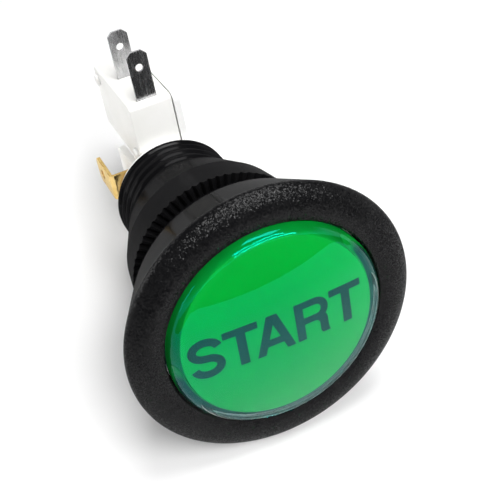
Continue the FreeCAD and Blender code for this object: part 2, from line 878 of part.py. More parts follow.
# Brass lamp terminal: contact leg, cross strip and the push-on tab folded to the back
def build_lamp_terminal(label, half_turn):
    body = new_body(label)
    strip_back = f"({FLANGE_BACK} + dim.lamp_tab_thickness)"
    extrude(
        body,
        "Pad",
        f"{label}_strip",
        "XZ_Plane",
        FLANGE_BACK,
        strip_back,
        outlines=[
            [
                ("-dim.lamp_tab_reach", LAMP_TAB_LOW),
                (f"-{LEG_OUTER}", LAMP_TAB_LOW),
                (f"-{LEG_OUTER}", LEG_LOW),
                ("-dim.lamp_leg_place", LEG_LOW),
                ("-dim.lamp_leg_place", "dim.switch_bottom - dim.switch_gap"),
                (f"-{CHEEK_INNER}", "dim.switch_bottom - dim.switch_gap"),
                (f"-{CHEEK_INNER}", LAMP_TAB_HIGH),
                ("-dim.lamp_tab_reach", LAMP_TAB_HIGH),
            ]
        ],
    )
    extrude(
        body,
        "Pad",
        f"{label}_leg",
        "XZ_Plane",
        "dim.post_front",
        strip_back,
        outlines=[rectangle(f"-{LEG_OUTER}", "-dim.lamp_leg_place", LEG_LOW, LEG_HIGH)],
    )
    corner = "dim.lamp_tab_chamfer"
    extrude(
        body,
        "Pad",
        f"{label}_tab",
        "YZ_Plane",
        "-dim.lamp_tab_reach",
        "dim.lamp_tab_thickness - dim.lamp_tab_reach",
        outlines=[
            [
                (FLANGE_BACK, LAMP_TAB_LOW),
                (f"{LAMP_TAB_BACK} - {corner}", LAMP_TAB_LOW),
                (LAMP_TAB_BACK, f"{LAMP_TAB_LOW} + {corner}"),
                (LAMP_TAB_BACK, f"{LAMP_TAB_HIGH} - {corner}"),
                (f"{LAMP_TAB_BACK} - {corner}", LAMP_TAB_HIGH),
                (FLANGE_BACK, LAMP_TAB_HIGH),
            ]
        ],
    )
    hole_place = f"{LAMP_TAB_BACK} - dim.lamp_tab_hole_setback"
    extrude(
        body,
        "Pocket",
        f"{label}_hole",
        "YZ_Plane",
        "-dim.lamp_tab_reach",
        "dim.lamp_tab_thickness - dim.lamp_tab_reach",
        circles=[(hole_place, "dim.lamp_tab_middle", "dim.lamp_tab_hole")],
    )
    fold_inner = "dim.fold_radius"
    fold_outer = "dim.fold_radius + dim.lamp_tab_thickness"
    tab_inner = "dim.lamp_tab_thickness - dim.lamp_tab_reach"
    round_edges(body, f"{label}_fold_outside", fold_outer, x="-dim.lamp_tab_reach", y=FLANGE_BACK)
    round_edges(body, f"{label}_fold_inside", fold_inner, x=tab_inner, y=strip_back)
    if half_turn:
        turn = FreeCAD.Rotation(FreeCAD.Vector(0, 1, 0), 180)
        body.Placement = FreeCAD.Placement(FreeCAD.Vector(0, 0, 0), turn)
    doc.recompute()
    return body


SWITCH_OUTLINE = rounded_rectangle(
    SWITCH_FRONT, SWITCH_BACK, "dim.switch_bottom", SWITCH_TOP, "dim.switch_corner"
)


# Switch case with its cavity, fixing bosses and slots for the terminals
def build_switch_case():
    body = new_body("switch_case")
    extrude(
        body,
        "Pad",
        "case_block",
        "YZ_Plane",
        CASE_LEFT,
        CASE_RIGHT,
        outlines=[SWITCH_OUTLINE],
    )
    round_edges(body, "case_edges", "dim.switch_edge", x=CASE_LEFT)
    low = "(dim.switch_bottom + dim.switch_wall)"
    high = f"({SWITCH_TOP} - dim.switch_wall)"
    front = f"({SWITCH_FRONT} + dim.switch_wall)"
    back = f"({SWITCH_BACK} - dim.switch_wall)"
    boss_back = f"({FIXINGS[0][0]} + dim.fixing_boss)"
    boss_top = f"({FIXINGS[0][1]} + dim.fixing_boss)"
    boss_front = f"({FIXINGS[1][0]} - dim.fixing_boss)"
    boss_low = f"({FIXINGS[1][1]} - dim.fixing_boss)"
    extrude(
        body,
        "Pocket",
        "case_cavity",
        "YZ_Plane",
        f"{CASE_LEFT} + dim.switch_side_wall",
        CASE_RIGHT,
        outlines=[
            [
                (front, boss_top),
                (boss_back, boss_top),
                (boss_back, low),
                (back, low),
                (back, boss_low),
                (boss_front, boss_low),
                (boss_front, high),
                (front, high),
            ]
        ],
    )
    extrude(
        body,
        "Pocket",
        "case_fixings",
        "YZ_Plane",
        CASE_LEFT,
        CASE_RIGHT,
        circles=[(along, up, "dim.fixing_hole") for along, up in FIXINGS],
    )
    cut_case_slots(body)
    return body


def cut_case_slots(body):
    """Slots where the terminals leave the case, and the hole for the pin."""
    gap = "dim.slot_clearance"
    half = f"(dim.tab_width / 2 + {gap})"
    thick = f"(dim.tab_thickness / 2 + {gap})"
    for name, place in (("common", COMMON_PLACE), ("open", OPEN_PLACE)):
        extrude(
            body,
            "Pocket",
            f"{name}_slot",
            "XY_Plane",
            f"{SWITCH_TOP} - dim.switch_wall",
            SWITCH_TOP,
            outlines=[rectangle(f"-{half}", half, f"{place} - {thick}", f"{place} + {thick}")],
        )
    extrude(
        body,
        "Pocket",
        "closed_slot",
        "XZ_Plane",
        f"{SWITCH_BACK} - dim.switch_wall",
        SWITCH_BACK,
        outlines=[
            rectangle(
                f"-{half}",
                half,
                f"{CLOSED_TOP} - dim.tab_thickness - {gap}",
                f"{CLOSED_TOP} + {gap}",
            )
        ],
    )
    extrude(
        body,
        "Pocket",
        "pin_hole",
        "XY_Plane",
        "dim.switch_bottom",
        "dim.switch_bottom + dim.switch_wall",
        circles=[("0", PIN_PLACE, "dim.pin_radius + dim.pin_clearance")],
    )


def build_switch_cover():
    body = new_body("switch_cover")
    extrude(
        body,
        "Pad",
        "cover_plate",
        "YZ_Plane",
        CASE_RIGHT,
        "dim.switch_thickness / 2",
        outlines=[SWITCH_OUTLINE],
    )
    round_edges(body, "cover_edges", "dim.switch_edge", x="dim.switch_thickness / 2")
    extrude(
        body,
        "Pocket",
        "cover_fixings",
        "YZ_Plane",
        CASE_RIGHT,
        "dim.switch_thickness / 2",
        circles=[(along, up, "dim.fixing_hole") for along, up in FIXINGS],
    )
    return body


# Upright terminal: a tab above the case and a foot folded to the back inside it
def build_upright_terminal(label, place, foot_low, foot_back):
    body = new_body(label)
    half = "dim.tab_width / 2"
    corner = "dim.tab_chamfer"
    front = f"({place} - dim.tab_thickness / 2)"
    back = f"({place} + dim.tab_thickness / 2)"
    extrude(
        body,
        "Pad",
        f"{label}_tab",
        "XZ_Plane",
        front,
        back,
        outlines=[
            [
                (f"-{half}", foot_low),
                (half, foot_low),
                (half, f"{TAB_TOP} - {corner}"),
                (f"{half} - {corner}", TAB_TOP),
                (f"{corner} - {half}", TAB_TOP),
                (f"-{half}", f"{TAB_TOP} - {corner}"),
            ]
        ],
    )
    extrude(
        body,
        "Pad",
        f"{label}_foot",
        "XY_Plane",
        foot_low,
        f"{foot_low} + dim.tab_thickness",
        outlines=[rectangle(f"-{half}", half, front, foot_back)],
    )
    extrude(
        body,
        "Pocket",
        f"{label}_hole",
        "XZ_Plane",
        front,
        back,
        circles=[("0", f"{TAB_TOP} - dim.tab_hole_setback", "dim.tab_hole")],
    )
    foot_top = f"({foot_low} + dim.tab_thickness)"
    round_edges(body, f"{label}_fold_outside", "dim.tab_thickness", y=front, z=foot_low)
    round_edges(body, f"{label}_fold_inside", "dim.tab_thickness / 2", y=back, z=foot_top)
    return body


def build_closed_terminal():
    body = new_body("normally_closed_terminal")
    half = "dim.tab_width / 2"
    corner = "dim.tab_chamfer"
    bottom = f"({CLOSED_TOP} - dim.tab_thickness)"
    front = f"({CONTACT_PLACE} - dim.contact_radius - dim.tab_thickness)"
    back = f"({SWITCH_BACK} + dim.closed_tab_length)"
    extrude(
        body,
        "Pad",
        "closed_strip",
        "XY_Plane",
        bottom,
        CLOSED_TOP,
        outlines=[
            [
                (f"-{half}", front),
                (half, front),
                (half, f"{back} - {corner}"),
                (f"{half} - {corner}", back),
                (f"{corner} - {half}", back),
                (f"-{half}", f"{back} - {corner}"),
            ]
        ],
    )
    extrude(
        body,
        "Pocket",
        "closed_hole",
        "XY_Plane",
        bottom,
        CLOSED_TOP,
        circles=[("0", f"{back} - dim.tab_hole_setback", "dim.tab_hole")],
    )
    return body


# Contact button welded to a terminal, with its crown towards the blade
def build_fixed_contact(label, base, face):
    body = new_body(label)
    crown = "(dim.contact_radius - dim.contact_round)"
    edge = f"({face} - ({face} - {base}) / dim.contact_head * dim.contact_round)"
    turn_profile(
        body,
        f"{label}_turning",
        [
            ("0", base),
            ("dim.contact_radius", base),
            ("dim.contact_radius", edge),
            (crown, face),
            ("0", face),
        ],
        "YZ_Plane",
        CONTACT_PLACE,
    )
    return body


# Spring blade that rocks on the common terminal's foot
def build_contact_blade():
    body = new_body("contact_blade")
    half = "dim.blade_width / 2"
    heel = f"({PIVOT_PLACE} - dim.blade_heel)"
    toe = f"({CONTACT_PLACE} + dim.blade_toe)"
    extrude(
        body,
        "Pad",
        "blade_strip",
        "XY_Plane",
        BLADE_BOTTOM,
        BLADE_TOP,
        outlines=[rectangle(f"-{half}", half, heel, toe)],
    )
    slot_front = f"({SWITCH_FRONT} + dim.tongue_inset)"
    tongue_back = f"({slot_front} + dim.tongue_length)"
    inner = "(dim.tongue_width / 2)"
    outer = f"({inner} + dim.tongue_slot)"
    extrude(
        body,
        "Pocket",
        "tongue_slot",
        "XY_Plane",
        BLADE_BOTTOM,
        BLADE_TOP,
        outlines=[
            [
                (f"-{outer}", slot_front),
                (outer, slot_front),
                (outer, tongue_back),
                (inner, tongue_back),
                (inner, f"{slot_front} + dim.tongue_slot"),
                (f"-{inner}", f"{slot_front} + dim.tongue_slot"),
                (f"-{inner}", tongue_back),
                (f"-{outer}", tongue_back),
            ]
        ],
    )
    extrude(
        body,
        "Pocket",
        "rivet_hole",
        "XY_Plane",
        BLADE_BOTTOM,
        BLADE_TOP,
        circles=[("0", CONTACT_PLACE, "dim.contact_shank + dim.fit_clearance")],
    )
    return body


def build_moving_contact():
    """Rivet through the blade's end, with a contact face on each side."""
    body = new_body("moving_contact")
    low = f"({BLADE_BOTTOM} - dim.contact_head)"
    high = f"({BLADE_TOP} + dim.contact_head)"
    crown = "(dim.contact_radius - dim.contact_round)"
    turn_profile(
        body,
        "rivet_turning",
        [
            ("0", low),
            (crown, low),
            ("dim.contact_radius", f"{low} + dim.contact_round"),
            ("dim.contact_radius", BLADE_BOTTOM),
            ("dim.contact_shank", BLADE_BOTTOM),
            ("dim.contact_shank", BLADE_TOP),
            ("dim.contact_radius", BLADE_TOP),
            ("dim.contact_radius", f"{high} - dim.contact_round"),
            (crown, high),
            ("0", high),
        ],
        "YZ_Plane",
        CONTACT_PLACE,
    )
    return body


# Round-tipped pin that the ramp lifts, with the collar that keeps it in the case
def build_switch_pin():
    body = new_body("switch_pin")
    collar_low = "(dim.switch_bottom + dim.switch_wall)"
    collar_high = f"({collar_low} + dim.pin_collar_thickness)"
    top = f"({BLADE_BOTTOM} - dim.pin_blade_gap)"
    turn_profile(
        body,
        "pin_turning",
        [
            ("0", PIN_TIP, "dim.pin_radius", 1),
            ("dim.pin_radius", f"{PIN_TIP} + dim.pin_radius"),
            ("dim.pin_radius", collar_low),
            ("dim.pin_collar_radius", collar_low),
            ("dim.pin_collar_radius", collar_high),
            ("dim.pin_radius", collar_high),
            ("dim.pin_radius", f"{top} - dim.pin_round"),
            ("dim.pin_radius - dim.pin_round", top),
            ("0", top),
        ],
        "YZ_Plane",
        PIN_PLACE,
    )
    return body


contact_end = f"({CONTACT_PLACE} + dim.contact_radius)"
parts = [
    build_bezel_housing(),
    build_mounting_nut(),
    build_lens_cap(),
    build_legend_plate(),
    build_plunger(),
    build_return_spring(),
    build_lamp_holder(),
    build_lamp_bulb(),
    build_lamp_terminal("lamp_terminal_left", half_turn=False),
    build_lamp_terminal("lamp_terminal_right", half_turn=True),
    build_switch_case(),
    build_switch_cover(),
    build_upright_terminal(
        "common_terminal",
        COMMON_PLACE,
        f"({BLADE_BOTTOM} - dim.foot_gap - dim.tab_thickness)",
        f"({COMMON_PLACE} + dim.common_foot_length)",
    ),
    build_upright_terminal("normally_open_terminal", OPEN_PLACE, OPEN_BOTTOM, contact_end),
    build_closed_terminal(),
    build_fixed_contact("open_contact", OPEN_BOTTOM, OPEN_FACE),
    build_fixed_contact("closed_contact", CLOSED_TOP, CLOSED_FACE),
    build_contact_blade(),
    build_moving_contact(),
    build_switch_pin(),
]
doc.recompute()

for item in doc.Objects:
    if "Invalid" in item.State or "Error" in item.State:
        raise RuntimeError(f"{item.Label} did not rebuild: {item.State}")

os.makedirs("parts", exist_ok=True)
for part in parts:
    shape = part.Shape
    if shape.isNull() or not shape.isValid() or len(shape.Solids) != 1:
        raise RuntimeError(f"{part.Label} is not one valid solid")
for part in parts:
    part.Shape.exportStep(f"parts/{part.Label}.step")
    print(part.Label, round(part.Shape.Volume, 2))
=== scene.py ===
import json
import math

import bmesh
import bpy
from mathutils import Matrix, Vector
from mathutils.geometry import tessellate_polygon


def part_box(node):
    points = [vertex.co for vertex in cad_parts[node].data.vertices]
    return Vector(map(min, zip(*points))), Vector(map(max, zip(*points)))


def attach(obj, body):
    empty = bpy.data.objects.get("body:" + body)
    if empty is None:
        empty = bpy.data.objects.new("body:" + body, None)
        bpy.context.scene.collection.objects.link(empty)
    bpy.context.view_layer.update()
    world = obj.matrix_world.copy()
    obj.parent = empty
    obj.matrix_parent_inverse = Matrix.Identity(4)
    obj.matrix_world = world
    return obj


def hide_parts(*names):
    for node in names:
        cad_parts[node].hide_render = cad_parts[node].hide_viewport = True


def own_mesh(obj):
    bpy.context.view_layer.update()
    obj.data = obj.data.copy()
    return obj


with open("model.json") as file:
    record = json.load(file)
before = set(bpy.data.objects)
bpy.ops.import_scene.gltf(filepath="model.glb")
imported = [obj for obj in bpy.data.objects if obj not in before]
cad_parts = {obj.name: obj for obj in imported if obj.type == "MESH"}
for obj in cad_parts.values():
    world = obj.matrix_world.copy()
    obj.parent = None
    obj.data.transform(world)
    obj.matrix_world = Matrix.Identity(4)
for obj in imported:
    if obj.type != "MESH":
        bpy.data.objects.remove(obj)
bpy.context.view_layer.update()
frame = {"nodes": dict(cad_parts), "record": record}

# Lengths here are millimetres in the part's frame, and MM turns them into metres.
MM = 0.001

# Camera at the photograph's place
CAMERA_PLACE = Vector((-46.0, -158.1, 125.8))
CAMERA_RIGHT = Vector((0.900, -0.406, -0.160))
CAMERA_UP = Vector((0.362, 0.492, 0.791))
CAMERA_LENS = 72.0
CAMERA_SENSOR = 36.0

# The floor that the button lies on: its bezel's rim and the holder's end touch it
FLOOR_TILT = math.radians(12.9)
FLOOR_DROP = 25.6
FLOOR_FRONT = 310.0
FLOOR_SIDE = 900.0
FLOOR_BACK = 1500.0
ROOM_RIGHT = Vector((1, 0, 0))
ROOM_FRONT = Vector((0, -math.cos(FLOOR_TILT), -math.sin(FLOOR_TILT)))
ROOM_UP = Vector((0, -math.sin(FLOOR_TILT), math.cos(FLOOR_TILT)))
CARD_HEIGHT = 150.0
LAMP_DISTANCE = 580.0
GLOW_START = 70.0
GLOW_FULL = 200.0

# Bezel's grain: where it fades out along the axis, then its size, lean, depth and gloss
GRAIN_FULL = -17.0
GRAIN_END = -16.2
GRAIN_SIZE = 0.2
GRAIN_TILT = 0.42
GRAIN_DEPTH = 0.02
GRAIN_GLOSS = 0.27
SMOOTH_GLOSS = 0.1
BLACK_POLISH = 0.1

# Steps round a full turn of the thread and of turned pieces, whose edges over SHARP_EDGE stay sharp
ROUND_STEPS = 96
SHARP_EDGE = math.radians(25)

# Thread on the barrel, sunk a little into it, and the plain ring at the barrel's end
BARREL_RADIUS = 13.5
THREAD_PITCH = 2.7
THREAD_HEIGHT = 0.5
THREAD_START = 2.4
THREAD_FLANK = 0.95
THREAD_PHASE = 0.165
THREAD_SINK = 0.06
END_RING = 1.2
RING_ROUND = 0.25
RING_LIP = 0.6

# Return spring, as in the CAD model
WIRE_RADIUS = 0.6
SPRING_TURNS = 4.5
SPRING_STEPS = 48
WIRE_SIDES = 10

# Lens, as in the CAD model
LENS_WALL = 1.5
LENS_SHOULDER = 2.4
LENS_DOME_ANGLE = math.radians(14)
LENS_CENTRE = 0.5
DOME_STEPS = 24
SHOULDER_STEPS = 16
PRINT_GAP = 0.1

# Edge of the legend plate
PLATE_STEP = 1.0
PLATE_STEP_THICKNESS = 0.4
PLATE_ROUND = 0.2

# Legend: each letter's left edge, on a base line turned a little with the plate
LETTER_HEIGHT = 8.75
LETTER_STROKE = 1.75
LETTER_WIDTH = 7.0
LETTER_THICKNESS = 0.04
LETTER_GAP = 0.01
LEGEND_BASE = -4.5
LEGEND_TURN = math.radians(-0.9)
LETTER_LEFTS = (-18.4, -11.25, -5.3, 3.2, 10.6)


# Node helpers
def new_material(name):
    material = bpy.data.materials.new(name)
    material.use_nodes = True
    tree = material.node_tree
    return material, tree, tree.nodes["Principled BSDF"]


def add_node(tree, kind, **settings):
    node = tree.nodes.new(kind)
    for key, value in settings.items():
        if key in node.inputs:
            node.inputs[key].default_value = value
        else:
            setattr(node, key, value)
    return node


def place_in_part(tree):
    """Coordinates in the part's frame, in metres."""
    return add_node(tree, "ShaderNodeTexCoord").outputs["Object"]


def noise(tree, size, detail=2.0, stretch=None):
    """Noise whose features are about size millimetres wide."""
    source = place_in_part(tree)
    if stretch:
        mapping = add_node(tree, "ShaderNodeMapping", Scale=stretch)
        tree.links.new(source, mapping.inputs["Vector"])
        source = mapping.outputs["Vector"]
    texture = add_node(tree, "ShaderNodeTexNoise", Scale=1 / (size * MM), Detail=detail)
    tree.links.new(source, texture.inputs["Vector"])
    return texture.outputs["Fac"]


def ramp(tree, source, stops):
    """Colour ramp; stops are (position, colour) pairs."""
    node = add_node(tree, "ShaderNodeValToRGB")
    band = node.color_ramp
    for index, (position, colour) in enumerate(stops):
        stop = band.elements[index] if index < 2 else band.elements.new(position)
        stop.position = position
        stop.color = (*colour, 1)
    tree.links.new(source, node.inputs["Fac"])
    return node.outputs["Color"]


def between(tree, source, low, high):
    """Turns a 0 to 1 value into the range low to high."""
    node = add_node(tree, "ShaderNodeMapRange")
    node.inputs["To Min"].default_value = low
    node.inputs["To Max"].default_value = high
    tree.links.new(source, node.inputs["Value"])
    return node.outputs["Result"]


def bump(tree, shader, height, depth, normal=None):
    """Bump whose full height is depth millimetres, on the surface or on another normal."""
    node = add_node(tree, "ShaderNodeBump", Strength=1.0, Distance=depth * MM)
    tree.links.new(height, node.inputs["Height"])
    if normal:
        tree.links.new(normal, node.inputs["Normal"])
    tree.links.new(node.outputs["Normal"], shader.inputs["Normal"])
    tree.links.new(node.outputs["Normal"], shader.inputs["Coat Normal"])


def dull_gloss(shader, weight, roughness):
    """Weak gloss of dull black plastic, without the pale sheen at a low angle."""
    shader.inputs["Specular IOR Level"].default_value = 0.0
    shader.inputs["Coat Weight"].default_value = weight
    shader.inputs["Coat Roughness"].default_value = roughness


def radius_from_axis(tree):
    """Distance from the button's axis, in metres."""
    flat = add_node(tree, "ShaderNodeVectorMath", operation="MULTIPLY")
    flat.inputs[1].default_value = (1, 0, 1)
    tree.links.new(place_in_part(tree), flat.inputs[0])
    length = add_node(tree, "ShaderNodeVectorMath", operation="LENGTH")
    tree.links.new(flat.outputs["Vector"], length.inputs[0])
    return length.outputs["Value"]


def combine(tree, operation, *values):
    """Math node on sockets and numbers."""
    node = add_node(tree, "ShaderNodeMath", operation=operation)
    for socket, value in zip(node.inputs, values):
        if isinstance(value, (int, float)):
            socket.default_value = value
        else:
            tree.links.new(value, socket)
    return node.outputs["Value"]


def combine_vectors(tree, operation, first, second):
    """Vector math node on two sockets, or on a socket and a fixed vector."""
    node = add_node(tree, "ShaderNodeVectorMath", operation=operation)
    tree.links.new(first, node.inputs[0])
    if isinstance(second, tuple):
        node.inputs[1].default_value = second
    else:
        tree.links.new(second, node.inputs[1])
    return node.outputs["Vector"]


def facets(tree, size, tilt, share):
    """Surface normal broken into flat facets that lean at random, size millimetres wide."""
    cells = add_node(tree, "ShaderNodeTexVoronoi", Scale=1 / (size * MM))
    tree.links.new(place_in_part(tree), cells.inputs["Vector"])
    lean = combine_vectors(tree, "SUBTRACT", cells.outputs["Color"], (0.5, 0.5, 0.5))
    scaled = add_node(tree, "ShaderNodeVectorMath", operation="SCALE")
    tree.links.new(lean, scaled.inputs[0])
    tree.links.new(combine(tree, "MULTIPLY", share, tilt), scaled.inputs["Scale"])
    straight = add_node(tree, "ShaderNodeNewGeometry").outputs["Normal"]
    leaning = add_node(tree, "ShaderNodeVectorMath", operation="NORMALIZE")
    tree.links.new(combine_vectors(tree, "ADD", straight, scaled.outputs["Vector"]), leaning.inputs[0])
    return leaning.outputs["Vector"]


def mix_shaders(tree, share, first, second):
    node = add_node(tree, "ShaderNodeMixShader")
    tree.links.new(share, node.inputs["Fac"])
    tree.links.new(first, node.inputs[1])
    tree.links.new(second, node.inputs[2])
    return node.outputs["Shader"]


def rays_that_see(tree):
    """1 for rays of the camera and those mirrored or let through, 0 for rays that only light."""
    path = add_node(tree, "ShaderNodeLightPath")
    seen = combine(tree, "MAXIMUM", path.outputs["Is Camera Ray"], path.outputs["Is Glossy Ray"])
    return combine(tree, "MAXIMUM", seen, path.outputs["Is Transmission Ray"])


# Materials
def moulded_plastic(name, dark, light, roughness, grain=0.6, depth=0.012):
    """Moulded plastic: faint colour clouds, uneven gloss and a fine skin."""
    material, tree, shader = new_material(name)
    clouds = noise(tree, 9.0, detail=3.0)
    tree.links.new(ramp(tree, clouds, [(0.3, dark), (0.7, light)]), shader.inputs["Base Color"])
    skin = noise(tree, grain, detail=4.0)
    gloss = between(tree, skin, roughness - 0.05, roughness + 0.07)
    tree.links.new(gloss, shader.inputs["Roughness"])
    bump(tree, shader, skin, depth)
    return material


def nut_plastic():
    """Black moulding of the nut, satin."""
    material = moulded_plastic("nut_black", (0.005, 0.005, 0.0055), (0.008, 0.008, 0.0085), 0.5)
    dull_gloss(material.node_tree.nodes["Principled BSDF"], weight=0.07, roughness=0.2)
    return material


def bezel_plastic():
    """Black moulding: sandy grain on the bezel's face, smooth on the bell and barrel."""
    material, tree, shader = new_material("housing_black")
    clouds = noise(tree, 7.0, detail=3.0)
    base = ramp(tree, clouds, [(0.3, (0.0035, 0.0035, 0.004)), (0.7, (0.0055, 0.0055, 0.006))])
    tree.links.new(base, shader.inputs["Base Color"])
    split = add_node(tree, "ShaderNodeSeparateXYZ")
    tree.links.new(place_in_part(tree), split.inputs["Vector"])
    face = add_node(tree, "ShaderNodeMapRange")
    face.inputs["From Min"].default_value = GRAIN_END * MM
    face.inputs["From Max"].default_value = GRAIN_FULL * MM
    tree.links.new(split.outputs["Y"], face.inputs["Value"])
    sand = noise(tree, GRAIN_SIZE, detail=2.0)
    skin = combine(tree, "MULTIPLY", noise(tree, 0.8, detail=3.0), 0.2)
    height = combine(tree, "MULTIPLY_ADD", sand, face.outputs["Result"], skin)
    bump(tree, shader, height, GRAIN_DEPTH, facets(tree, GRAIN_SIZE, GRAIN_TILT, face.outputs["Result"]))
    tree.links.new(between(tree, sand, 0.5, 0.65), shader.inputs["Roughness"])
    dull_gloss(shader, SMOOTH_GLOSS, BLACK_POLISH)
    gloss = between(tree, face.outputs["Result"], SMOOTH_GLOSS, GRAIN_GLOSS)
    tree.links.new(gloss, shader.inputs["Coat Weight"])
    return material


def sheet_metal(name, dark, light, roughness, along, rim=(1, 1, 1)):
    """Stamped sheet metal: rolling lines along one direction and a few darker stains."""
    material, tree, shader = new_material(name)
    shader.inputs["Metallic"].default_value = 1.0
    shader.inputs["Specular Tint"].default_value = (*rim, 1)
    stains = noise(tree, 3.5, detail=4.0)
    tree.links.new(ramp(tree, stains, [(0.35, dark), (0.62, light)]), shader.inputs["Base Color"])
    lines = noise(tree, 0.25, detail=3.0, stretch=along)
    gloss = between(tree, lines, roughness - 0.06, roughness + 0.1)
    tree.links.new(gloss, shader.inputs["Roughness"])
    bump(tree, shader, lines, 0.006)
    return material


def clear_plastic(name, tint, roughness, index, gleam=(1, 1, 1), level=0.5, bond=None):
    """Clear plastic or glass. Shadow rays go through it, so what lies behind it is lit.
    Within the radius bond its inner faces are joined to the plate behind, and mirror nothing."""
    material, tree, shader = new_material(name)
    shader.inputs["Base Color"].default_value = (*tint, 1)
    shader.inputs["Transmission Weight"].default_value = 1.0
    shader.inputs["IOR"].default_value = index
    shader.inputs["Specular IOR Level"].default_value = level
    # gleam tints the reflections; the lens's cyan gleam is a painted reflection colour.
    shader.inputs["Specular Tint"].default_value = (*gleam, 1)
    wear = noise(tree, 6.0, detail=4.0)
    tree.links.new(between(tree, wear, roughness * 0.5, roughness * 1.5), shader.inputs["Roughness"])
    surface = shader.outputs["BSDF"]
    if bond:
        inside = add_node(tree, "ShaderNodeNewGeometry").outputs["Backfacing"]
        near = combine(tree, "LESS_THAN", radius_from_axis(tree), bond)
        joined = add_node(tree, "ShaderNodeBsdfTransparent")
        share = combine(tree, "MULTIPLY", inside, near)
        surface = mix_shaders(tree, share, surface, joined.outputs["BSDF"])
    passing = add_node(tree, "ShaderNodeBsdfTransparent")
    path = add_node(tree, "ShaderNodeLightPath")
    surface = mix_shaders(tree, path.outputs["Is Shadow Ray"], surface, passing.outputs["BSDF"])
    tree.links.new(surface, tree.nodes["Material Output"].inputs["Surface"])
    return material


def legend_plastic():
    """Translucent green plate, a little paler towards its edge as painted light, with painted shade
    darkening the step round its back.
    """
    material, tree, shader = new_material("legend_green")
    share = combine(tree, "DIVIDE", radius_from_axis(tree), PLATE_RADIUS)
    cloud = combine(tree, "MULTIPLY_ADD", noise(tree, 8.0, detail=3.0), 0.02, share)
    # Painted light and shade: the green is painted paler towards the edge, as light glowing through it,
    # and the step round the back is painted dark, as shade in the lens's pocket.
    stops = [
        (0.2, (0.0, 0.21, 0.017)),
        (0.9, (0.0, 0.235, 0.023)),
        (0.968, (0.001, 0.25, 0.028)),
        (0.978, (0.002, 0.03, 0.022)),
    ]
    tree.links.new(ramp(tree, cloud, stops), shader.inputs["Base Color"])
    shader.inputs["Roughness"].default_value = 0.5
    shader.inputs["Specular IOR Level"].default_value = 0.03
    bump(tree, shader, noise(tree, 0.5), 0.002)
    return material


def printing_ink():
    """Dark ink of the word, thinner in places."""
    material, tree, shader = new_material("printing_ink")
    cover = noise(tree, 0.9, detail=5.0)
    stops = [(0.3, (0.004, 0.012, 0.010)), (0.75, (0.007, 0.018, 0.016))]
    tree.links.new(ramp(tree, cover, stops), shader.inputs["Base Color"])
    tree.links.new(between(tree, cover, 0.4, 0.6), shader.inputs["Roughness"])
    shader.inputs["Specular IOR Level"].default_value = 0.03
    return material


# Values of the materials: radii in metres, colours, and how far rolling lines are drawn out along an axis
PLATE_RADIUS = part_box("legend_plate")[1].x
BOND_RADIUS = PLATE_RADIUS + 0.3 * MM
BRASS_RIM = (0.92, 0.84, 0.62)
# Painted reflection: a cyan tint laid on the lens's reflections and glints.
LENS_PAINTED_GLINT_TINT = (0.0, 1.0, 1.0)
ALONG_Y = (1, 0.08, 1)
ALONG_Z = (1, 1, 0.08)
EVEN = (1, 1, 1)
STEEL = ((0.42, 0.42, 0.43), (0.58, 0.58, 0.59))
SILVER = ((0.66, 0.65, 0.62), (0.84, 0.83, 0.80))
MATERIALS = {
    "housing_black": bezel_plastic(),
    "nut_black": nut_plastic(),
    "lens_clear": clear_plastic("lens_clear", (0.97, 1.0, 0.98), 0.02, 1.58, LENS_PAINTED_GLINT_TINT, 1.0, BOND_RADIUS),
    "legend_green": legend_plastic(),
    "plunger_white": moulded_plastic("plunger_white", (0.80, 0.80, 0.77), (0.86, 0.86, 0.84), 0.45),
    "spring_steel": sheet_metal("spring_steel", (0.42, 0.42, 0.43), (0.62, 0.62, 0.63), 0.28, EVEN),
    "holder_white": moulded_plastic("holder_white", (0.89, 0.89, 0.87), (0.93, 0.93, 0.92), 0.42),
    "bulb_glass": clear_plastic("bulb_glass", (0.97, 0.98, 1.0), 0.015, 1.47),
    "brass": sheet_metal("brass", (0.60, 0.40, 0.13), (0.80, 0.58, 0.24), 0.24, ALONG_Y, BRASS_RIM),
    "terminal_steel": sheet_metal("terminal_steel", *STEEL, 0.24, ALONG_Z),
    "case_ivory": moulded_plastic("case_ivory", (0.87, 0.865, 0.83), (0.92, 0.915, 0.89), 0.4),
    "contact_silver": sheet_metal("contact_silver", *SILVER, 0.22, EVEN),
    "blade_copper": sheet_metal("blade_copper", (0.52, 0.27, 0.14), (0.72, 0.42, 0.25), 0.26, ALONG_Y),
    "pin_red": moulded_plastic("pin_red", (0.36, 0.03, 0.025), (0.46, 0.05, 0.04), 0.38),
}
INK = printing_ink()


def paint_nodes():
    """Gives each CAD node the material of its slot in the record."""
    for part in frame["record"]["subparts"]:
        mesh = frame["nodes"][part["node"]].data
        mesh.materials.clear()
        mesh.materials.append(MATERIALS[part["material_slot"]])


# Pieces
def new_piece(name, points, faces, material, smooth=False):
    mesh = bpy.data.meshes.new(name)
    mesh.from_pydata([Vector(point) * MM for point in points], [], faces)
    mesh.update()
    mesh.materials.append(material)
    for face in mesh.polygons:
        face.use_smooth = smooth
    piece = bpy.data.objects.new(name, mesh)
    bpy.context.scene.collection.objects.link(piece)
    return piece


def face_outwards(mesh):
    """Turns the faces of a closed mesh outwards."""
    shape = bmesh.new()
    shape.from_mesh(mesh)
    bmesh.ops.recalc_face_normals(shape, faces=shape.faces)
    shape.to_mesh(mesh)
    shape.free()


def tube_faces(count, width):
    """Faces of a closed tube with count steps, whose rings have width points each."""
    faces = [tuple(range(width)), tuple(reversed(range(count * width, (count + 1) * width)))]
    rows = [(k, (k + 1) % width) for k in range(width)]
    for step in range(count):
        here, there = step * width, (step + 1) * width
        faces += [(here + k, there + k, there + after, here + after) for k, after in rows]
    return faces


